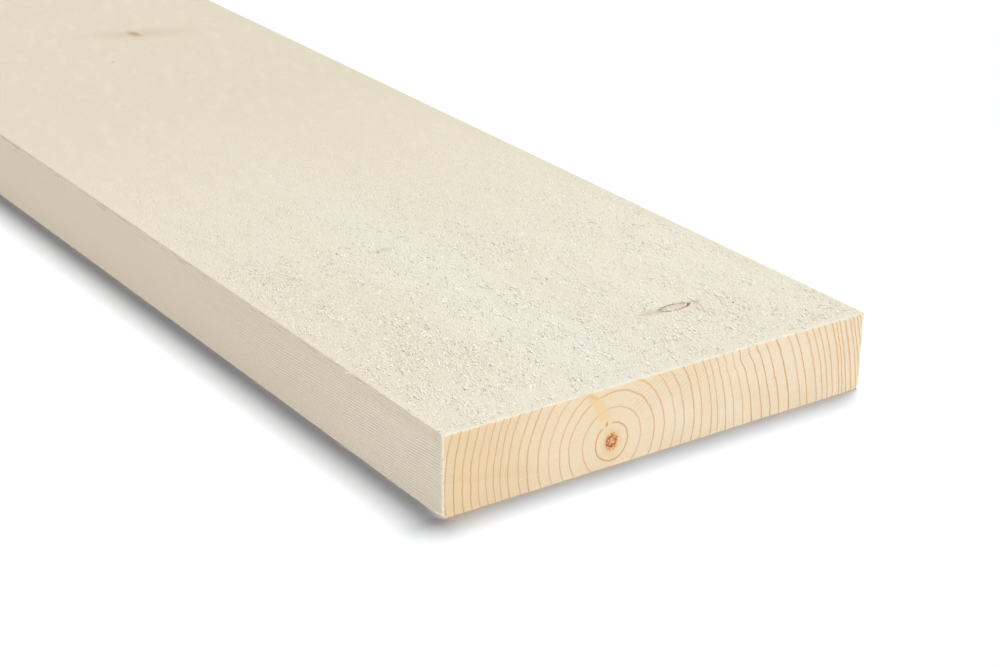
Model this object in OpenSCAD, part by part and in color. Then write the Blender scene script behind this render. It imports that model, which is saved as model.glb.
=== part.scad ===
// Rough-sawn softwood plank, lying flat on one wide face.
// +X runs along the length, +Y across the width and +Z up.
// The origin is in the middle of the underside.

/* [Board] */
// Length along the grain, one of the lengths that sawn boards are sold in
board_length = 1800; // [600:100:6000]
// Width of the wide faces
board_width = 150; // [75:1:300]
// Thickness between the wide faces
board_thickness = 25; // [12:0.5:75]

/* [Long edges] */
// Break along each upper long edge, as crisp as the saw leaves it
upper_arris = 0.4; // [0.1:0.1:3]
// Wear along each lower long edge, rubbed off on the stack and the floor
lower_arris = 1.5; // [0.1:0.1:5]

/* [Hidden] */

// Pale, freshly sawn spruce
wood_colour = [0.91, 0.88, 0.80];
half_width = board_width / 2;

// Right half of the cross-section, from the underside round the edge to the upper face
right_half = [
    [half_width - lower_arris, 0],
    [half_width, lower_arris],
    [half_width, board_thickness - upper_arris],
    [half_width - upper_arris, board_thickness]
];

// The left half mirrors the right, in reverse order, so that the outline stays closed
last = len(right_half) - 1;
left_half = [for (i = [last:-1:0]) [-right_half[i][0], right_half[i][1]]];

// Cross-section as the saw leaves it: square faces, with the four long corners cut off
module section() {
    polygon(concat(right_half, left_half));
}

// The whole plank: one length of that section, cut off square at both ends
module plank() {
    color(wood_colour)
        rotate([90, 0, 90])
            linear_extrude(height = board_length, center = true)
                section();
}

plank();
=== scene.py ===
"""A rough-sawn softwood plank on a white floor.

The plank is one closed mesh whose six faces carry the relief that the saw left. Slivers of torn wood stand
on its wide faces and fray its corners. Its colours are procedural: growth rings round the pith on the cut
ends, torn grain and knots on the wide faces, saw lines on the narrow edges.
"""
import math

import bmesh
import bpy
import numpy as np
from mathutils import Matrix, Vector


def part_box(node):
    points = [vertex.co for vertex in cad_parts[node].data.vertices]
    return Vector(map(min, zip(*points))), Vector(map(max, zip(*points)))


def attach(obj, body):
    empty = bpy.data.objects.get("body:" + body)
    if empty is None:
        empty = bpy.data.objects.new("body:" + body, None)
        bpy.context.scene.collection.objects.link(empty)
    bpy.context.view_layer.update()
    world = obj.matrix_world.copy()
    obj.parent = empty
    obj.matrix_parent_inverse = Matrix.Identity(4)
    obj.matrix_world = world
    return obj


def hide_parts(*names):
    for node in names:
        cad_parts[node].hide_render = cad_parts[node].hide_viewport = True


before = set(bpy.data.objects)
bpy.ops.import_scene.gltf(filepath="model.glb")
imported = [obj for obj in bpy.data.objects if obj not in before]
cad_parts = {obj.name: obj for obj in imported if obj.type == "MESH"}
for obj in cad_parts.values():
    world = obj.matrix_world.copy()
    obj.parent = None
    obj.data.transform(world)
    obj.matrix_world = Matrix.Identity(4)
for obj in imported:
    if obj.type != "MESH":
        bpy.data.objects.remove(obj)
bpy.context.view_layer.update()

# Sizes in millimetres, from the frame
MM = 0.001
low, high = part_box("plank")
LENGTH, WIDTH, THICK = ((b - a) / MM for a, b in zip(low, high))

# Breaks along the corners. The lower long ones are crisp, as the photograph shows them, and wear down to
# the solid's own by the two ends.
UPPER_ARRIS = 0.4
LOWER_ARRIS = 0.4
WORN_ARRIS = 1.5
WORN_REACH = 6.0
END_ARRIS = 0.12

# How far from the near end the photograph shows the plank
SEEN = 440.0

# Grid steps on the faces
FACE_STEP = 1.7
FACE_FAR_STEP = 10.0
EDGE_STEP = 1.5
EDGE_FAR_STEP = 12.0
UNDER_STEP = 5.0
EDGE_ROW = 0.3
UNDER_ROW = 6.0
END_STEP = 1.25
END_ROW = 1.0
STEP_GROWTH = 1.08

# Saw lines along the narrow edges, and how steeply they fall towards the far end. They are cut into the
# mesh over the near part and left to the bump further on.
SAW_PITCH = 0.9
SAW_FALL = 0.07
SAW_DEPTH = 0.06
SAW_CUT = 150.0

# How far the torn streaks on the wide faces lie askew to the grain
STREAK_TURN = math.radians(20)

# The pith and the brown spot above it, from the left edge and from the underside
PITH = (56.3, 7.8)
BUD = (54.5, 13.5)
# Distance of each growth ring from the pith at its own height, to the right and to the left of it
RIGHT_RINGS = (
    5.8, 10.3, 15.2, 18.9, 22.7, 26.0, 29.7, 32.5, 36.1, 38.4, 41.3, 44.3, 47.6, 50.7, 54.5, 57.7,
    61.0, 65.0, 69.3, 72.1, 75.9, 78.3, 80.3, 82.4, 85.1, 86.4, 87.8, 89.9, 91.9, 93.1, 94.7, 95.8,
)
LEFT_RINGS = (
    5.8, 10.3, 14.9, 18.1, 21.8, 25.4, 29.0, 31.9, 35.3, 37.8, 40.0, 42.4, 44.9, 47.4, 50.1, 52.9, 55.7,
)
RING_REACH = 100.0
# Spacing of the torn lines on the cut end
HATCH_PITCH = 1.25


# Noise for the relief

def lattice(i, j, seed):
    """A fixed random number from -1 to 1 for each pair of whole numbers."""
    h = (i.astype(np.int64) * 374761393 + j.astype(np.int64) * 668265263 + seed * 144269504) & 0xFFFFFFFF
    h = ((h ^ (h >> 13)) * 1274126177) & 0xFFFFFFFF
    return ((h ^ (h >> 16)) & 0xFFFF) / 32767.5 - 1


def noise(u, v, cell_u, cell_v, seed):
    """Smooth noise from -1 to 1 over two coordinates, with one value at each corner of a cell."""
    u, v = u / cell_u, v / cell_v
    i, j = np.floor(u), np.floor(v)
    s, t = u - i, v - j
    s, t = (x * x * x * (x * (x * 6 - 15) + 10) for x in (s, t))
    near = lattice(i, j, seed) * (1 - s) + lattice(i + 1, j, seed) * s
    far = lattice(i, j + 1, seed) * (1 - s) + lattice(i + 1, j + 1, seed) * s
    return near * (1 - t) + far * t


def smooth(x, start, end):
    """0 before start, 1 after end, and an even ramp between them."""
    t = np.clip((x - start) / (end - start), 0, 1)
    return t * t * (3 - 2 * t)


# Relief of the faces: a depth below the flat face, in millimetres

def torn(a, w, seed):
    """How torn a wide face is, from 0 to 1, at a from the near end and w from the left edge."""
    patches = 0.2 * noise(a, w, 30, 14, seed) + 0.8 * noise(a, w, 8, 4.5, seed + 1)
    clumps = 0.6 + 0.4 * smooth(patches, -0.6, 0.5)
    rim = 0.7 + 0.3 * smooth(np.minimum(w, WIDTH - w), 0.5, 4.0)
    far_calm = 1 - 0.9 * smooth(a, 80, 270) * (1 - smooth(a, SEEN, 1.5 * SEEN))
    right_calm = 1 - 0.2 * smooth(w, 75, 115) * smooth(a, 20, 60)
    calm = far_calm * right_calm
    return clumps * rim * calm


def face_depth(a, w, seed):
    rough = torn(a, w, seed)
    waves = 0.05 * noise(a, w, 70, 22, seed + 2)
    scales = noise(a, w, 3.6, 2.0, seed + 3) + 0.8 * noise(a, w, 2.2, 1.6, seed + 4)
    rim = np.minimum(np.minimum(w, WIDTH - w), np.minimum(a, LENGTH - a))
    return np.maximum(0.14 + waves + (0.02 + 0.1 * rough) * scales, 0) * (0.2 + 0.8 * smooth(rim, 0, 5))


def saw_sway(a, h, seed):
    """How far the saw lines on a narrow edge stray from their even spacing, in spacings."""
    return 0.3 * noise(a, h, 90, 10, seed) + 0.18 * noise(a, h, 22, 4, seed + 1)


def edge_depth(a, h, seed):
    lines = np.sin(2 * math.pi * ((h + SAW_FALL * a) / SAW_PITCH + saw_sway(a, h, seed)))
    strength = (0.7 + 0.3 * noise(a, h, 30, 4, seed + 2)) * smooth(a, SAW_CUT, 0.5 * SAW_CUT)
    return SAW_DEPTH * (0.5 - 0.45 * strength * lines) + 0.03 * (1 + noise(a, h, 25, 6, seed + 3))


def end_depth(w, h, seed):
    return 0.03 * (1 + noise(w, h, 4, 4, seed)) + 0.015 * (1 + noise(w, h, 1.6, 1.6, seed + 1))


# The plank's mesh

def spaced(fine, coarse, reach):
    """Distances from the near end to the far one, fine as far as that reach and coarser beyond it."""
    places, step = [0.0], fine
    while places[-1] < LENGTH:
        places.append(places[-1] + step)
        if places[-1] > reach:
            step = min(step * STEP_GROWTH, coarse)
    return np.array(places) * (LENGTH - 2 * END_ARRIS) / places[-1] + END_ARRIS


def shares(size, step):
    """Even shares of a size from 0 to 1, about a step apart."""
    return np.linspace(0, 1, round(size / step) + 1)


def lower_arris(a):
    """Width of the lower break at a distance from the near end."""
    worn = 1 - smooth(np.minimum(a, LENGTH - a), END_ARRIS, WORN_REACH)
    return LOWER_ARRIS + (WORN_ARRIS - LOWER_ARRIS) * worn


def face_outwards(data):
    """Turns the faces of a closed mesh outwards."""
    work = bmesh.new()
    work.from_mesh(data)
    bmesh.ops.recalc_face_normals(work, faces=work.faces)
    work.to_mesh(data)
    work.free()


class Shell:
    """Points and faces of a closed mesh, gathered grid by grid."""

    def __init__(self):
        self.points, self.faces, self.slots = [], [], []
        self.torn, self.sway = [], []
        self.count = 0

    def grid(self, points, slot, torn=0.0, sway=0.0):
        """Adds a grid of points, shaped (rows, columns, 3), and returns their numbers as a grid."""
        m, n = points.shape[:2]
        index = np.arange(m * n).reshape(m, n) + self.count
        self.count += m * n
        self.points.append(points.reshape(-1, 3))
        self.torn.append(np.broadcast_to(torn, (m, n)).ravel())
        self.sway.append(np.broadcast_to(sway, (m, n)).ravel())
        quads = np.stack([index[:-1, :-1], index[1:, :-1], index[1:, 1:], index[:-1, 1:]], -1)
        self.add(quads.reshape(-1, 4).tolist(), slot)
        return index

    def add(self, faces, slot):
        self.faces += faces
        self.slots += [slot] * len(faces)

    def zip(self, one, other, slot):
        """Joins two rows of points that run the same way, whatever their counts, with triangles."""
        places = np.concatenate(self.points)
        along = np.argmax(np.ptp(places[one], axis=0))
        p, q = places[one][:, along], places[other][:, along]
        way = np.sign(p[-1] - p[0])
        i = j = 0
        made = []
        while i < len(one) - 1 or j < len(other) - 1:
            step_one = j == len(other) - 1 or (i < len(one) - 1 and way * (p[i + 1] - q[j + 1]) <= 0)
            if step_one:
                made.append([int(one[i]), int(one[i + 1]), int(other[j])])
                i += 1
            else:
                made.append([int(one[i]), int(other[j + 1]), int(other[j])])
                j += 1
        self.add(made, slot)

    def mesh(self, name):
        data = bpy.data.meshes.new(name)
        data.from_pydata(np.concatenate(self.points) * MM, [], self.faces)
        data.polygons.foreach_set("material_index", self.slots)
        for attribute, values in (("torn", self.torn), ("sway", self.sway)):
            layer = data.attributes.new(attribute, "FLOAT", "POINT")
            layer.data.foreach_set("value", np.concatenate(values))
        face_outwards(data)
        data.shade_smooth()
        data.set_sharp_from_angle(angle=math.radians(32))
        return data


FACE, EDGE, END = range(3)
TOP_SEED, UNDER_SEED, LEFT_SEED, RIGHT_SEED, FRONT_SEED, BACK_SEED = 11, 31, 51, 71, 91, 111


def stack(x, y, z):
    return np.stack(np.broadcast_arrays(x, y, z), -1)


def plank_mesh():
    """The six faces as grids, each inside its own breaks, joined along the breaks and at the corners."""
    shell = Shell()
    on_top = spaced(FACE_STEP, FACE_FAR_STEP, SEEN)
    beside = spaced(EDGE_STEP, EDGE_FAR_STEP, SAW_CUT)
    below = spaced(UNDER_STEP, EDGE_FAR_STEP, SEEN)
    half_length, half_width = LENGTH / 2, WIDTH / 2

    a, share = np.meshgrid(on_top, shares(WIDTH, FACE_STEP), indexing="ij")
    w = UPPER_ARRIS + share * (WIDTH - 2 * UPPER_ARRIS)
    points = stack(half_length - a, w - half_width, THICK - face_depth(a, w, TOP_SEED))
    top = shell.grid(points, FACE, torn=torn(a, w, TOP_SEED))
    a, share = np.meshgrid(below, shares(WIDTH, UNDER_ROW), indexing="ij")
    w = lower_arris(a) + share * (WIDTH - 2 * lower_arris(a))
    points = stack(half_length - a, w - half_width, face_depth(a, w, UNDER_SEED))
    under = shell.grid(points, FACE, torn=torn(a, w, UNDER_SEED))
    a, share = np.meshgrid(beside, shares(THICK, EDGE_ROW), indexing="ij")
    h = lower_arris(a) + share * (THICK - UPPER_ARRIS - lower_arris(a))
    points = stack(half_length - a, edge_depth(a, h, LEFT_SEED) - half_width, h)
    left = shell.grid(points, EDGE, sway=saw_sway(a, h, LEFT_SEED))
    points = stack(half_length - a, half_width - edge_depth(a, h, RIGHT_SEED), h)
    right = shell.grid(points, EDGE, sway=saw_sway(a, h, RIGHT_SEED))
    share, rise = np.meshgrid(shares(WIDTH, END_STEP), shares(THICK, END_ROW), indexing="ij")
    h = END_ARRIS + rise * (THICK - 2 * END_ARRIS)
    inset = END_ARRIS + np.maximum(WORN_ARRIS - h, 0) + np.maximum(h - THICK + UPPER_ARRIS, 0)
    w = inset + share * (WIDTH - 2 * inset)
    front = shell.grid(stack(half_length - end_depth(w, h, FRONT_SEED), w - half_width, h), END)
    back = shell.grid(stack(end_depth(w, h, BACK_SEED) - half_length, w - half_width, h), END)

    # Long edges
    shell.zip(top[:, 0], left[:, -1], FACE)
    shell.zip(top[:, -1], right[:, -1], FACE)
    shell.zip(under[:, 0], left[:, 0], EDGE)
    shell.zip(under[:, -1], right[:, 0], EDGE)
    # Edges of the two ends, and the corners where three faces meet
    for cap, row in ((front, 0), (back, -1)):
        shell.zip(top[row], cap[:, -1], END)
        shell.zip(under[row], cap[:, 0], END)
        shell.zip(left[row], cap[0], END)
        shell.zip(right[row], cap[-1], END)
        for side, column in ((left, 0), (right, -1)):
            shell.add([[int(top[row, column]), int(side[row, -1]), int(cap[column, -1])]], END)
            shell.add([[int(under[row, column]), int(side[row, 0]), int(cap[column, 0])]], END)
    return shell.mesh("plank_wood")


# Slivers of torn wood, and the shares of their length that have a cross-section of their own

SHORT_SECTIONS = (0.0, 0.45)
FRAYED_SECTIONS = (0.0, 0.5)
CURLED_SECTIONS = (0.0, 0.2, 0.4, 0.6, 0.8)


def sliver_mesh(name, sections, root, along, up, length, width, thick, lift, bend, keel=0.06):
    """Many slivers as one mesh. Each starts in the surface at its root, thins along its length and lifts.

    A cross-section is a flat top with a keel under its left rim, three points.
    """
    side = np.cross(up, along)
    side *= np.where(side[:, 1:2] < 0, -1, 1)
    length, width, thick, lift, bend = (value[:, None] for value in (length, width, thick, lift, bend))
    layers = []
    for share in sections:
        spine = root + along * length * share + side * bend * share ** 2 + up * lift * share ** 1.5
        half = side * width * (0.5 - 0.2 * share)
        rim = spine + up * thick * (1 - 0.4 * share)
        layers += [rim - half, rim + half, spine - half * 0.7 - up * keel]
    layers.append(root + along * length + side * bend + up * lift)
    points = np.stack(layers, 1)

    corners = [(c, (c + 1) % 3) for c in range(3)]
    last = 3 * (len(sections) - 1)
    quads = [(s + c, s + d, s + 3 + d, s + 3 + c) for s in range(0, last, 3) for c, d in corners]
    triangles = [(0, 2, 1)] + [(last + c, last + d, last + 3) for c, d in corners]
    start = np.arange(len(root))[:, None, None] * len(layers)
    faces = []
    for shape in (quads, triangles):
        faces += (start + np.array(shape)).reshape(-1, len(shape[0])).tolist()
    data = bpy.data.meshes.new(name)
    data.from_pydata(points.reshape(-1, 3) * MM, [], faces)
    face_outwards(data)
    return data


def level_heading(turn):
    """Unit vectors in the plane of a wide face, turned from the grain."""
    return stack(np.cos(turn), np.sin(turn), 0.0)


def face_slivers(name, count, start, end, seed, upper=True):
    """Short slivers along the grain of a wide face, more of them where it is more torn."""
    random = np.random.default_rng(seed)
    face_seed = TOP_SEED if upper else UNDER_SEED
    tries = 4 * count
    a = random.uniform(start, end, tries)
    w = random.uniform(1.0, WIDTH - 1.0, tries)
    kept = np.flatnonzero(random.random(tries) < torn(a, w, face_seed))[:count]
    a, w = a[kept], w[kept]
    count = len(kept)
    depth = face_depth(a, w, face_seed)
    root = stack(LENGTH / 2 - a, w - WIDTH / 2, THICK - depth if upper else depth)
    up = stack(0.0, 0.0, np.full(count, 1.0 if upper else -1.0))
    heading = random.normal(-STREAK_TURN, 0.25, count)
    reverse = random.random(count) < 0.8
    along = level_heading(heading + math.pi * reverse)
    rough = torn(a, w, face_seed)
    size = np.minimum(random.lognormal(0.0, 0.28, count), 1.6) * (0.6 + 0.4 * rough)
    width = random.uniform(0.16, 0.36, count) * size
    thick = (0.04 + 0.13 * random.random(count) ** 2) * size * rough
    lift = random.uniform(0.0, 0.22, count) * size * rough
    bend = random.normal(0, 0.18, count) * size
    if not upper:
        # The plank's weight presses the fibres below it flat
        thick = np.minimum(thick, 0.5 * depth)
        lift = np.minimum(lift, 0.4 * depth)
    return sliver_mesh(name, SHORT_SECTIONS, root, along, up, 1.05 * size, width, thick, lift, bend)


def curls(name, count, seed):
    """Long fibres that lie curled on the upper face, and one that hangs over its left edge."""
    random = np.random.default_rng(seed)
    a = random.uniform(4, SEEN / 4, count)
    w = random.uniform(3, WIDTH - 3, count)
    turn = random.normal(0, 0.6, count)
    length = random.uniform(2, 5, count)
    # The one that hangs over the edge
    a[0], w[0], turn[0], length[0] = 47.3, 0.7, -1.9, 2.2
    root = stack(LENGTH / 2 - a, w - WIDTH / 2, THICK - face_depth(a, w, TOP_SEED))
    up = stack(0.0, 0.0, np.ones(count))
    return sliver_mesh(
        name, CURLED_SECTIONS, root, level_heading(turn), up, length=length,
        width=random.uniform(0.24, 0.4, count), thick=random.uniform(0.04, 0.08, count),
        lift=random.uniform(0.0, 0.07, count), bend=random.normal(0, 0.3, count) * length, keel=0.02)


def frayed_end(name, count, seed):
    """Frayed fibres where the cut left the upper and left corners of the near end."""
    random = np.random.default_rng(seed)
    share = random.random(count) * (WIDTH + THICK - WORN_ARRIS - 1)
    on_top = share < WIDTH
    y = np.where(on_top, share - WIDTH / 2, -WIDTH / 2 + 0.12)
    z = np.where(on_top, THICK - 0.2, share - WIDTH + WORN_ARRIS + 0.8)
    root = stack(LENGTH / 2 - 0.25, y, z)
    along = level_heading(random.normal(0, 0.5, count))
    up = np.where(on_top[:, None], (0.0, 0.0, 1.0), (0.0, -1.0, 0.0))
    along = np.where(on_top[:, None], along, along[:, [0, 2, 1]])
    return sliver_mesh(
        name, FRAYED_SECTIONS, root, along, up, length=random.uniform(0.25, 0.7, count),
        width=random.uniform(0.15, 0.4, count), thick=random.uniform(0.06, 0.14, count),
        lift=random.normal(0.03, 0.06, count), bend=random.normal(0, 0.12, count))


# Node graphs: a number that varies over the surface is a Field, and fields add and multiply as numbers do

class Field:
    def __init__(self, graph, socket):
        self.graph, self.socket = graph, socket

    def __add__(self, other):
        return self.graph.math("ADD", self, other)

    def __sub__(self, other):
        return self.graph.math("SUBTRACT", self, other)

    def __rsub__(self, other):
        return self.graph.math("SUBTRACT", other, self)

    def __mul__(self, other):
        return self.graph.math("MULTIPLY", self, other)

    def __truediv__(self, other):
        return self.graph.math("DIVIDE", self, other)

    __radd__ = __add__
    __rmul__ = __mul__


class Graph:
    """The nodes of one material, with its own coordinates in millimetres."""

    def __init__(self, name):
        self.material = bpy.data.materials.new(name)
        self.material.use_nodes = True
        self.nodes = self.material.node_tree.nodes
        self.links = self.material.node_tree.links
        self.shader = self.nodes["Principled BSDF"]

    def feed(self, socket, value):
        if isinstance(value, Field):
            self.links.new(value.socket, socket)
        elif isinstance(value, tuple) and len(value) == 3 and len(socket.default_value) == 4:
            socket.default_value = (*value, 1)
        else:
            socket.default_value = value

    def math(self, operation, *values):
        node = self.nodes.new("ShaderNodeMath")
        node.operation = operation
        for socket, value in zip(node.inputs, values):
            self.feed(socket, value)
        return Field(self, node.outputs[0])

    def ramp(self, value, start, end):
        """0 before start, 1 after end, and an even ramp between them."""
        node = self.nodes.new("ShaderNodeMapRange")
        node.interpolation_type = "SMOOTHSTEP"
        if start > end:
            start, end, ends = end, start, (1.0, 0.0)
        else:
            ends = (0.0, 1.0)
        limits = {"From Min": start, "From Max": end, "To Min": ends[0], "To Max": ends[1]}
        self.feed(node.inputs["Value"], value)
        for name, number in limits.items():
            self.feed(node.inputs[name], number)
        return Field(self, node.outputs["Result"])

    def near(self, value, centre, reach):
        """1 at the centre, easing to 0 at that reach on either side of it."""
        return self.ramp(self.math("ABSOLUTE", value - centre), reach, 0.0)

    def spot(self, u, v, centre, reach):
        """Distance from a centre in two coordinates, in shares of a reach along each."""
        p, q = (u - centre[0]) / reach[0], (v - centre[1]) / reach[1]
        return self.math("SQRT", p * p + q * q)

    def mix(self, one, other, share):
        node = self.nodes.new("ShaderNodeMix")
        node.data_type = "RGBA"
        self.feed(node.inputs["Factor"], share)
        self.feed(next(s for s in node.inputs if s.name == "A" and s.type == "RGBA"), one)
        self.feed(next(s for s in node.inputs if s.name == "B" and s.type == "RGBA"), other)
        return Field(self, next(s for s in node.outputs if s.type == "RGBA"))

    def places(self):
        """Distances in millimetres: from the near end, from the left edge and from the underside."""
        coordinates = self.nodes.new("ShaderNodeTexCoord")
        split = self.nodes.new("ShaderNodeSeparateXYZ")
        self.links.new(coordinates.outputs["Object"], split.inputs[0])
        x, y, z = (Field(self, socket) for socket in split.outputs)
        return LENGTH / 2 - x * (1 / MM), y * (1 / MM) + WIDTH / 2, z * (1 / MM)

    def steepness(self):
        """0 on level faces and 1 on upright ones."""
        geometry = self.nodes.new("ShaderNodeNewGeometry")
        split = self.nodes.new("ShaderNodeSeparateXYZ")
        self.links.new(geometry.outputs["True Normal"], split.inputs[0])
        return 1.0 - self.math("ABSOLUTE", Field(self, split.outputs["Z"]))

    def vector(self, x, y, z):
        node = self.nodes.new("ShaderNodeCombineXYZ")
        for socket, value in zip(node.inputs, (x, y, z)):
            self.feed(socket, value)
        return Field(self, node.outputs[0])

    def noise(self, vector, cell, detail=2.0, roughness=0.5):
        """Noise from 0 to 1 with features about a cell across."""
        node = self.nodes.new("ShaderNodeTexNoise")
        self.feed(node.inputs["Vector"], vector)
        node.inputs["Scale"].default_value = 1 / cell
        node.inputs["Detail"].default_value = detail
        node.inputs["Roughness"].default_value = roughness
        return Field(self, node.outputs[0])

    def random(self, value):
        node = self.nodes.new("ShaderNodeTexWhiteNoise")
        node.noise_dimensions = "1D"
        self.feed(node.inputs["W"], value)
        return Field(self, node.outputs["Value"])

    def curve(self, value, points):
        node = self.nodes.new("ShaderNodeFloatCurve")
        self.feed(node.inputs["Value"], value)
        line = node.mapping.curves[0]
        line.points[0].location, line.points[1].location = points[0], points[-1]
        for x, y in points[1:-1]:
            line.points.new(x, y)
        node.mapping.update()
        return Field(self, node.outputs[0])

    def attribute(self, name):
        node = self.nodes.new("ShaderNodeAttribute")
        node.attribute_name = name
        return Field(self, node.outputs["Fac"])

    def bump(self, height, depth):
        """Relief of that depth in millimetres where height goes from 0 to 1."""
        node = self.nodes.new("ShaderNodeBump")
        node.inputs["Distance"].default_value = depth * MM
        self.feed(node.inputs["Height"], height)
        return Field(self, node.outputs["Normal"])

    def finish(self, colour, roughness, normal):
        self.feed(self.shader.inputs["Base Color"], colour)
        self.feed(self.shader.inputs["Roughness"], roughness)
        self.feed(self.shader.inputs["Normal"], normal)
        self.shader.inputs["Specular IOR Level"].default_value = 0.2
        return self.material


# Growth rings

def ring_distance(g, w, h):
    """Distance from the pith by the rings' own shape: round on the left, leaning over on the far right."""
    y, z = w - PITH[0], h - PITH[1]
    lean = g.ramp(y, 26.0, 54.0) * 0.2 - g.ramp(y, 64.0, 86.0) * 0.06
    dent = g.near(z / g.math("MAXIMUM", y, 1.0), 0.287, 0.07) * g.near(y, 46.0, 12.0)
    return g.math("SQRT", y * y + z * z * 0.95) + z * lean + dent * 0.7


def latewood(g, w, h, sway):
    """How dark the ring is at a place, from 0 in the early wood to 1 in the late wood, and its distance."""
    s = ring_distance(g, w, h) + sway
    count = len(RIGHT_RINGS)
    turns = []
    for rings in (LEFT_RINGS, RIGHT_RINGS):
        points = [(0.0, 0.0)] + [(r / RING_REACH, (i + 1) / count) for i, r in enumerate(rings)]
        turns.append(g.curve(s / RING_REACH, points) * count)
    left = g.ramp(w, PITH[0] + 2.0, PITH[0] - 2.0)
    turns = turns[0] * left + turns[1] * (1.0 - left)
    part = g.math("FRACT", turns)
    ring = g.math("FLOOR", turns)
    gap = 4.6 - g.ramp(s, 14.0, 20.0) * 1.1 - g.ramp(s, 71.0, 76.0) * 1.2 - g.ramp(s, 83.0, 86.0) * 0.8
    inside = g.ramp((1.0 - part) * gap, 0.6, 0.1)
    outside = g.ramp(part * gap, 0.16, 0.0)
    by_distance = g.ramp(s, 22.0, 44.0) * 0.2 + g.ramp(s, 9.0, 7.0) * 0.3 + 0.72
    strength = (g.random(ring) * 0.45 + 0.55) * by_distance
    return g.math("MAXIMUM", inside, outside) * strength, s


# Materials

def knots(g, a, w, colour):
    """The wide face's knots and smudges."""
    # A lens of a knot with a thin dark outline and a dark tip
    grain = g.noise(g.vector(a, w, 0.0), 1.0, 2.0)
    speckle = g.noise(g.vector(a, w, 4.0), 0.5, 2.0)
    lens = g.spot(a, w, (34.4, 105.0), (2.3, 6.2)) + (grain - 0.5) * 0.4 + (speckle - 0.5) * 0.5
    colour = g.mix(colour, (0.66, 0.555, 0.46), g.ramp(lens, 1.0, 0.7) * 0.5)
    outline = g.near(lens, 0.86, 0.26) * g.ramp(speckle, 0.36, 0.5)
    colour = g.mix(colour, (0.24, 0.13, 0.06), outline * 0.9)
    tip = g.spot(a, w, (34.0, 110.4), (0.9, 1.7)) + (grain - 0.5) * 0.5
    colour = g.mix(colour, (0.16, 0.08, 0.05), g.ramp(tip, 1.0, 0.4) * 0.85)
    # A small one further off, in a slanting streak
    slant = a + w * 0.36
    streak = g.spot(slant, w, (424.6, 102.0), (13.0, 36.0)) + (grain - 0.5) * 0.4
    colour = g.mix(colour, (0.58, 0.49, 0.36), g.ramp(streak, 1.0, 0.0) * 0.45)
    core = g.spot(slant, w, (424.6, 98.6), (7.0, 3.4)) + (grain - 0.5) * 0.4
    colour = g.mix(colour, (0.46, 0.32, 0.19), g.ramp(core, 1.0, 0.0))
    # Smaller ones: where, reach along and across, colour and strength
    marks = (
        ((34.8, 96.5), (2.8, 6.0), (0.62, 0.50, 0.37), 0.55),
        ((34.2, 113.0), (1.8, 3.6), (0.56, 0.40, 0.26), 0.55),
        ((30.0, 112.0), (6.5, 4.0), (0.66, 0.55, 0.41), 0.25),
        ((7.0, 65.5), (1.3, 5.0), (0.54, 0.47, 0.37), 0.35),
        ((2.9, 123.6), (0.8, 1.6), (0.55, 0.42, 0.30), 0.45),
        ((121.1, 54.4), (1.0, 0.8), (0.25, 0.17, 0.11), 0.75),
        ((121.6, 57.5), (2.4, 7.0), (0.56, 0.48, 0.37), 0.40),
        ((356.8, 73.6), (1.4, 0.6), (0.38, 0.27, 0.19), 0.60),
        ((18.0, 1.0), (0.7, 0.4), (0.30, 0.20, 0.14), 0.80),
        ((2.8, 0.9), (0.6, 0.4), (0.34, 0.22, 0.15), 0.70),
    )
    for centre, reach, tint, strength in marks:
        place = g.spot(a, w, centre, reach) + (grain - 0.5) * 0.6
        colour = g.mix(colour, tint, g.ramp(place, 1.0, 0.25) * strength)
    return colour


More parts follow.
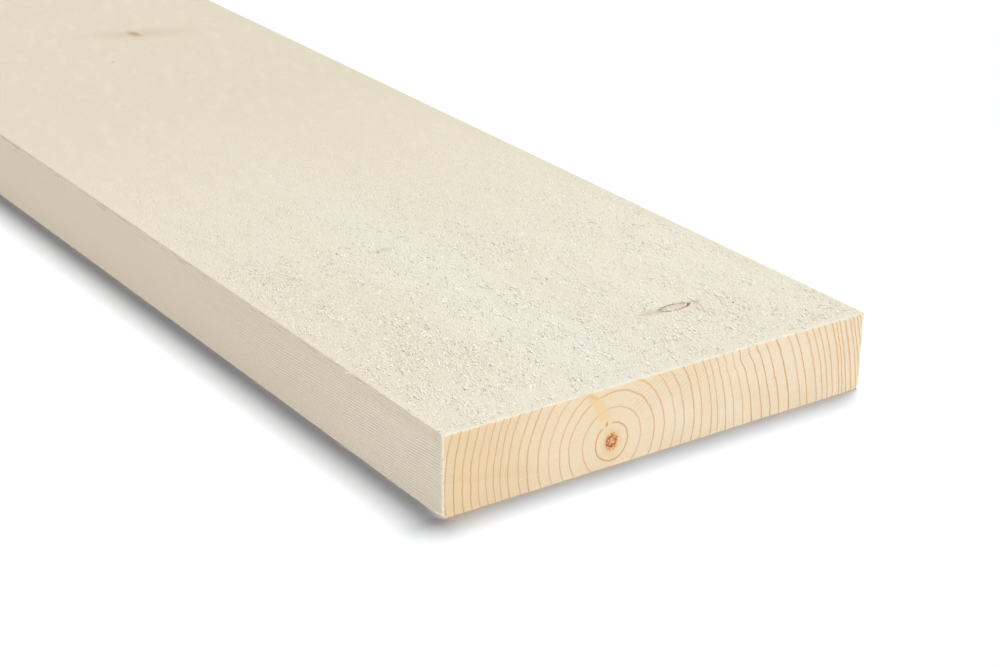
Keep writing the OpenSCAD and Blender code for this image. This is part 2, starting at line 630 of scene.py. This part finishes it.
def sawn_face():
    """A wide face: pale, torn into short scales along the grain, with faint bands and knots, painted shade
    in its pits and a painted highlight on its scales.
    """
    g = Graph("sawn_face")
    a, w, h = g.places()
    rough = g.attribute("torn")
    bands = g.noise(g.vector(a * 0.02, w, h), 14.0, 3.0)
    cloud = g.noise(g.vector(a * 0.3, w, h), 20.0, 2.0)
    streaks = g.noise(g.vector(a * 0.05, w, h), 1.2, 2.0)
    along = a * math.cos(STREAK_TURN) + w * math.sin(STREAK_TURN)
    across = w * math.cos(STREAK_TURN) - a * math.sin(STREAK_TURN)
    fine = g.noise(g.vector(along * 0.28, across, h), 0.48, 2.0, 0.5)
    broad = g.noise(g.vector(a * 0.45, w, h + 60.0), 2.4, 2.0)
    scales = g.ramp(fine, 0.55, 0.66)
    pits_and_painted_shade = g.ramp(fine, 0.39, 0.29)
    height = scales + broad * 0.4 - pits_and_painted_shade * 0.6
    tint = g.noise(g.vector(a * 0.6, w, h + 90.0), 7.0, 2.0)
    # The ground: paler along the middle, rosier by the left edge, warmer on the left, deeper further off
    colour = g.mix((0.784, 0.73, 0.592), (0.80, 0.75, 0.612), g.ramp(bands, 0.35, 0.65))
    pale = g.near(w, 62.0, 20.0) * 0.4 + g.ramp(tint, 0.45, 0.65) * 0.25
    colour = g.mix(colour, (0.805, 0.785, 0.682), pale)
    rosy = g.ramp(cloud, 0.55, 0.8) * 0.25 + g.ramp(w, 3.0, 0.8) * 0.4
    colour = g.mix(colour, (0.86, 0.77, 0.63), rosy)
    left_part = g.ramp(w, 52.0, 28.0) * g.ramp(a, 8.0, 40.0) * g.ramp(a, 160.0, 90.0)
    colour = g.mix(colour, (0.74, 0.67, 0.515), left_part * 0.45)
    colour = g.mix(colour, (0.695, 0.63, 0.495), g.ramp(a, 60.0, 310.0) * 0.9)
    # The grain, then the pits and scales torn in it, with painted shade in the pits and the scales paler,
    # partly as a painted highlight
    late, _ = latewood(g, w, h, (g.noise(g.vector(a * 0.04, w * 0.2, h), 3.0, 2.0) - 0.5) * 6.0)
    colour = g.mix(colour, (0.72, 0.61, 0.44), late * 0.1 + g.ramp(streaks, 0.55, 0.75) * 0.12)
    # Painted shade: the low pits of the torn grain are darkened
    colour = g.mix(colour, (0.42, 0.315, 0.20), pits_and_painted_shade * rough * 0.78)
    # The raised scales are paler: partly their own pale torn fibre, partly a painted highlight
    colour = g.mix(colour, (1.0, 0.985, 0.905), scales * rough * 0.92)
    # Soft mottles further off, and a pale rim along the near end
    soft = g.ramp(g.noise(g.vector(along * 0.5, across, h + 30.0), 5.0, 1.0), 0.48, 0.72)
    colour = g.mix(colour, (0.87, 0.825, 0.69), soft * g.ramp(a, 60.0, 250.0) * 0.12)
    colour = g.mix(colour, (0.87, 0.835, 0.725), g.ramp(a + fine * 4.0, 4.0, 1.5) * 0.6)
    colour = knots(g, a, w, colour)
    return g.finish(colour, 0.85, g.bump(height * (rough * 0.9 + 0.1), 0.15))


def sawn_edge():
    """A narrow edge: fine saw lines, with painted shade in the grooves between them and a painted highlight
    on their ridges, and a smoother, rosier upper band.
    """
    g = Graph("sawn_edge")
    a, w, h = g.places()
    band = g.ramp(h, 20.0, 22.5)
    turns = (h + a * SAW_FALL) / SAW_PITCH + g.attribute("sway")
    wave = g.math("SINE", turns * (2 * math.pi)) * 0.5 + 0.5
    # How firm the lines are: weaker in the upper band, and in the far part that the photograph shows
    shown = g.ramp(a, 1.5 * SEEN, SEEN)
    firm = g.ramp(g.noise(g.vector(a * 0.12, w, h), 4.0, 2.0), 0.25, 0.55)
    firm = firm * (1.0 - band * g.ramp(a, 110.0, 50.0) * 0.5)
    firm = firm * (1.0 - g.ramp(a - h * 5.0, 42.0, 100.0) * shown * 0.85)
    cloud = g.noise(g.vector(a * 0.3, w, h), 14.0, 2.0)
    fibres = g.noise(g.vector(a * 0.3, w, h), 0.5, 3.0, 0.6)
    clear = 1.0 - g.ramp(a, 60.0, 200.0) * shown * 0.7
    strands = g.noise(g.vector(a * 0.05, w, h), 0.6, 2.0, 0.6)
    # The ground, then the saw lines as painted shade and highlight, the fibres, the pale rim along the near
    # end and a few specks
    colour = g.mix((0.77, 0.685, 0.555), (0.79, 0.70, 0.57), g.ramp(cloud, 0.35, 0.65))
    colour = g.mix(colour, (0.725, 0.63, 0.505), g.ramp(a, 20.0, 110.0))
    colour = g.mix(colour, (0.745, 0.63, 0.505), band * 0.6)
    # Painted shade in the saw grooves and painted highlight on their ridges, following the saw relief
    colour = g.mix(colour, (0.62, 0.52, 0.405), (1.0 - wave) * firm * 0.43)
    colour = g.mix(colour, (0.90, 0.84, 0.73), wave * firm * 0.35)
    colour = g.mix(colour, (0.60, 0.48, 0.37), g.ramp(fibres, 0.47, 0.3) * clear * 0.38)
    colour = g.mix(colour, (0.44, 0.33, 0.24), g.ramp(strands, 0.42, 0.34) * g.ramp(h, 21.0, 24.0) * 0.6)
    colour = g.mix(colour, (0.90, 0.82, 0.69), g.ramp(fibres, 0.53, 0.7) * clear * 0.32)
    colour = g.mix(colour, (0.88, 0.82, 0.70), g.ramp(a, 1.0, 0.2) * 0.7)
    specks = g.ramp(g.noise(g.vector(a * 0.7, w, h + 30.0), 1.4, 1.0), 0.19, 0.14)
    colour = g.mix(colour, (0.35, 0.25, 0.18), specks * 0.6)
    return g.finish(colour, 0.8, g.bump(wave * firm * 0.4 + fibres * clear * 0.6, 0.15))


def end_grain():
    """A cut end: growth rings round a spongy brown pith, with the pale trace of a branch above it."""
    g = Graph("end_grain")
    a, w, h = g.places()
    place = g.vector(w, h, a * 0.05)
    sway = (g.noise(place, 9.0, 1.0) - 0.5) * 0.7 + (g.noise(place, 2.0, 1.0) - 0.5) * 0.4
    late, s = latewood(g, w, h, sway)
    y, z = w - PITH[0], h - PITH[1]
    cloud = g.noise(place, 12.0, 2.0)
    grit = g.noise(place, 0.5, 2.0, 0.6)
    bearing = g.math("ARCTAN2", z, y)
    rays = g.noise(g.vector(bearing * 36.0, s * 0.12, a), 1.0, 2.0)
    colour = g.mix((0.86, 0.715, 0.515), (0.88, 0.745, 0.55), g.ramp(cloud, 0.35, 0.65))
    colour = g.mix(colour, (0.82, 0.62, 0.385), g.ramp(w, 45.0, 15.0) * 0.8)
    colour = g.mix(colour, (0.86, 0.695, 0.47), g.near(w, 52.0, 24.0) * 0.65)
    darker = g.ramp(rays, 0.52, 0.7) * 0.25 + g.ramp(grit, 0.5, 0.3) * 0.3
    colour = g.mix(colour, (0.79, 0.62, 0.41), darker)
    colour = g.mix(colour, (0.95, 0.86, 0.70), g.ramp(grit, 0.55, 0.75) * 0.4)
    # The saw's change of stroke across the left part
    stroke = h - 10.5 + w * 0.19
    stroke_part = g.ramp(stroke, -0.3, 0.3) * g.ramp(stroke, 4.5, 0.5) * g.ramp(w, 38.0, 22.0)
    colour = g.mix(colour, (0.79, 0.58, 0.34), stroke_part * 0.35)
    # Fine torn lines across the rings, to the upper right of the pith
    fan = (z * 0.84 - y * 0.54) * (2 * math.pi / HATCH_PITCH)
    hatch = g.math("SINE", fan + (g.noise(place, 3.0, 2.0) - 0.5) * 9.0) * 0.5 + 0.5
    torn_part = g.ramp(y, 3.0, 10.0) * g.ramp(z - y * 0.12, 3.0, 8.0) * g.ramp(y, 38.0, 28.0)
    colour = g.mix(colour, (0.76, 0.54, 0.31), g.ramp(hatch, 0.4, 0.9) * torn_part * 0.4)
    # The branch trace, then the rings that it breaks
    rise = h - 14.0
    middle = 54.4 - rise * (rise * 0.022 + 0.36)
    off_trace = g.math("ABSOLUTE", w - middle + (g.noise(place, 2.0, 2.0) - 0.5) * 2.0)
    trace = g.ramp(off_trace, 3.4, 0.8) * g.ramp(h + cloud * 2.0, 13.5, 16.5)
    colour = g.mix(colour, (0.86, 0.647, 0.372), trace * 0.9)
    late = late * (1.0 - trace * 0.8) * g.ramp(g.spot(w, h, BUD, (2.6, 2.2)), 0.4, 1.0)
    colour = g.mix(colour, (0.65, 0.33, 0.105), late)
    # Brown smears where the rings meet the trace
    smear = g.spot(w, h + w * 0.4, (49.4, 43.0), (2.6, 0.9)) + (g.noise(place, 1.2, 2.0) - 0.5) * 1.2
    colour = g.mix(colour, (0.76, 0.49, 0.23), g.ramp(smear, 1.1, 0.2) * 0.65)
    # The pith, a ring of brown specks round a lighter middle, and a brown spot above it
    heart = g.spot(w, h, PITH, (2.2, 2.8)) + (g.noise(place, 1.0, 2.0) - 0.5) * 0.9
    colour = g.mix(colour, (0.82, 0.56, 0.28), g.ramp(heart, 2.0, 0.9) * 0.65)
    colour = g.mix(colour, (0.80, 0.38, 0.16), g.ramp(heart, 1.2, 0.7) * 0.8)
    specks = g.ramp(g.noise(g.vector(w, h, 7.0), 0.55, 2.0), 0.4, 0.56)
    speckled = g.ramp(heart, 1.1, 0.7) * g.ramp(heart, 0.0, 0.5) * specks
    colour = g.mix(colour, (0.33, 0.085, 0.025), speckled * 0.9)
    bud = g.spot(w, h, BUD, (0.6, 1.2)) + (grit - 0.5) * 0.6
    colour = g.mix(colour, (0.60, 0.29, 0.12), g.ramp(bud, 1.1, 0.3) * 0.75)
    # Frayed, pale corners
    rim = g.math("MINIMUM", g.math("MINIMUM", w, WIDTH - w), THICK - h)
    fray = rim + (g.noise(place, 1.4, 3.0) - 0.5) * 1.6
    colour = g.mix(colour, (0.93, 0.87, 0.73), g.ramp(fray, 0.9, 0.2) * 0.8)
    return g.finish(colour, 0.75, g.bump(late * 0.4 + grit * 0.6 + hatch * torn_part * 0.5, 0.1))


def torn_fibre():
    """The slivers: as pale as fresh wood, each a little different."""
    g = Graph("torn_fibre")
    a, w, h = g.places()
    tone = g.noise(g.vector(a * 0.3, w, h), 1.5, 1.0)
    grain = g.noise(g.vector(a * 0.2, w, h), 0.2, 2.0)
    colour = g.mix((0.92, 0.88, 0.775), (0.985, 0.96, 0.88), g.ramp(tone, 0.3, 0.55))
    colour = g.mix(colour, (0.80, 0.68, 0.48), g.ramp(g.steepness(), 0.3, 0.9) * 0.8)
    colour = g.mix(colour, (0.745, 0.68, 0.54), g.ramp(a, 60.0, 280.0) * 0.95)
    colour = g.mix(colour, (0.70, 0.64, 0.51), g.ramp(grain, 0.5, 0.25) * 0.3)
    return g.finish(colour, 0.85, g.bump(grain, 0.03))


# Pieces

def add_object(name, data):
    piece = bpy.data.objects.new(name, data)
    bpy.context.scene.collection.objects.link(piece)
    return piece


plank = add_object("plank_wood", plank_mesh())
for make in (sawn_face, sawn_edge, end_grain):
    plank.data.materials.append(make())
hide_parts("plank")

fibre = torn_fibre()
slivers = (
    face_slivers("torn_fibres_near", 10000, 1.0, 130.0, seed=1),
    face_slivers("torn_fibres_middle", 7000, 130.0, SEEN, seed=6),
    face_slivers("torn_fibres_far", 12000, SEEN, LENGTH - 3.0, seed=2),
    face_slivers("torn_fibres_under", 6000, 3.0, LENGTH - 3.0, seed=3, upper=False),
    curls("curled_fibres", 160, seed=4),
    frayed_end("frayed_corners", 700, seed=5),
)
pieces = [plank] + [add_object(data.name, data) for data in slivers]
for piece in pieces:
    if piece is not plank:
        piece.data.materials.append(fibre)
    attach(piece, "root")


# Floor, light and camera: the floor is a light table, through which two of the lamps shine from below

FLOOR_SIZE = 16.0
FLOOR_DROP = 0.02
FLOOR_BOUNCE = (0.25, 0.25, 0.25)
AMBIENT = 0.03


def seen_directly(nodes, links):
    """1 for what is seen directly, in a reflection or through glass, and 0 for light that bounces."""
    path = nodes.new("ShaderNodeLightPath")
    total = path.outputs["Is Camera Ray"]
    for name in ("Is Glossy Ray", "Is Transmission Ray"):
        node = nodes.new("ShaderNodeMath")
        node.operation = "MAXIMUM"
        links.new(total, node.inputs[0])
        links.new(path.outputs[name], node.inputs[1])
        total = node.outputs[0]
    return total


def white_floor():
    """White where it is seen, with painted shadow under the plank, beside it and in front of it, a painted
    blue glow in that shadow, and dark to bounced light.
    """
    g = Graph("white_floor")
    g.nodes.remove(g.shader)
    output = g.nodes["Material Output"]
    matt = g.nodes.new("ShaderNodeBsdfDiffuse")
    painted_glow = g.nodes.new("ShaderNodeEmission")
    add = g.nodes.new("ShaderNodeAddShader")
    seen = Field(g, seen_directly(g.nodes, g.links))
    a, w, _ = g.places()
    # Painted shadow: the floor's seen colour is darkened under and beside the plank's left edge and in
    # front of its near end
    under = g.ramp(a, -2.0, 12.0) * g.ramp(a, LENGTH + 2.0, LENGTH - 12.0)
    beside = g.ramp(w, -7.5, 0.5) * g.ramp(w, WIDTH, 0.0) * under
    left_shadow = g.near(w, -4.0, 7.0) * g.ramp(a, -5.0, 3.0) * g.ramp(a, LENGTH + 5.0, LENGTH - 3.0)
    front_shadow = g.near(a, -5.0, 7.0) * g.ramp(w, -4.0, 18.0) * g.ramp(w, WIDTH + 4.0, WIDTH - 4.0)
    tint = g.mix((0.955, 0.98, 1.0), (0.89, 0.925, 0.95), front_shadow * g.ramp(w, WIDTH, 0.5 * WIDTH))
    tint = g.mix(tint, (0.67, 0.69, 0.72), beside)
    g.feed(matt.inputs["Color"], g.mix(FLOOR_BOUNCE, tint, seen))
    # A painted blue glow in that shadow, which cools the warm light bounced from the plank
    painted_glow.inputs["Color"].default_value = (0.0, 0.3, 1.0, 1)
    g.feed(painted_glow.inputs["Strength"], seen * (front_shadow * 0.11 + left_shadow * 0.045))
    g.links.new(matt.outputs[0], add.inputs[0])
    g.links.new(painted_glow.outputs[0], add.inputs[1])
    g.links.new(add.outputs[0], output.inputs["Surface"])
    return g.material


half = FLOOR_SIZE / 2
floor_points = [(x * half, y * half, -FLOOR_DROP * MM) for x, y in ((-1, -1), (1, -1), (1, 1), (-1, 1))]
floor_data = bpy.data.meshes.new("floor")
floor_data.from_pydata(floor_points, [], [(0, 1, 2, 3)])
floor_data.materials.append(white_floor())
floor = add_object("floor", floor_data)
floor.visible_shadow = False

world = bpy.data.worlds.new("studio")
bpy.context.scene.world = world
world.use_nodes = True
nodes, links = world.node_tree.nodes, world.node_tree.links
level = nodes.new("ShaderNodeMapRange")
level.inputs["To Min"].default_value = AMBIENT
links.new(seen_directly(nodes, links), level.inputs["Value"])
nodes["Background"].inputs["Color"].default_value = (1, 1, 1, 1)
links.new(level.outputs["Result"], nodes["Background"].inputs["Strength"])


def direction(azimuth, elevation):
    """Unit vector towards a place round the plank. Azimuth 0 is on the -Y side and 90 on the +X side."""
    a, e = math.radians(azimuth), math.radians(elevation)
    return Vector((math.sin(a) * math.cos(e), -math.cos(a) * math.cos(e), math.sin(e)))


def lamp(name, azimuth, elevation, level, spread):
    """A large soft source, far away, that lights a surface facing it to that level."""
    data = bpy.data.lights.new(name, "SUN")
    data.energy = level * math.pi
    data.angle = math.radians(spread)
    lit = add_object(name, data)
    lit.rotation_mode = "QUATERNION"
    lit.rotation_quaternion = direction(azimuth, elevation).to_track_quat("Z", "Y")


lamp("key", azimuth=215, elevation=65.5, level=1.1, spread=32)
lamp("front_card", azimuth=90, elevation=8, level=0.3, spread=14)
lamp("front_below", azimuth=90, elevation=-25, level=0.6, spread=14)
lamp("left_below", azimuth=0, elevation=-25, level=0.77, spread=14)

# The camera, placed from the near upper left corner
CAMERA_FROM_CORNER = (434.8, -281.2, 257.0)
CAMERA_AZIMUTH, CAMERA_ELEVATION, CAMERA_ROLL = 55.45, 23.73, 0.46
CAMERA_LENS = 79.12
corner = Vector((high[0], low[1], high[2]))
camera_data = bpy.data.cameras.new("camera")
camera_data.lens = CAMERA_LENS
camera = add_object("camera", camera_data)
turn = direction(CAMERA_AZIMUTH, CAMERA_ELEVATION).to_track_quat("Z", "Y").to_matrix().to_4x4()
place = Matrix.Translation(corner + Vector(CAMERA_FROM_CORNER) * MM)
camera.matrix_world = place @ turn @ Matrix.Rotation(math.radians(CAMERA_ROLL), 4, "Z")
bpy.context.scene.camera = camera
bpy.context.scene.view_settings.view_transform = "Standard"
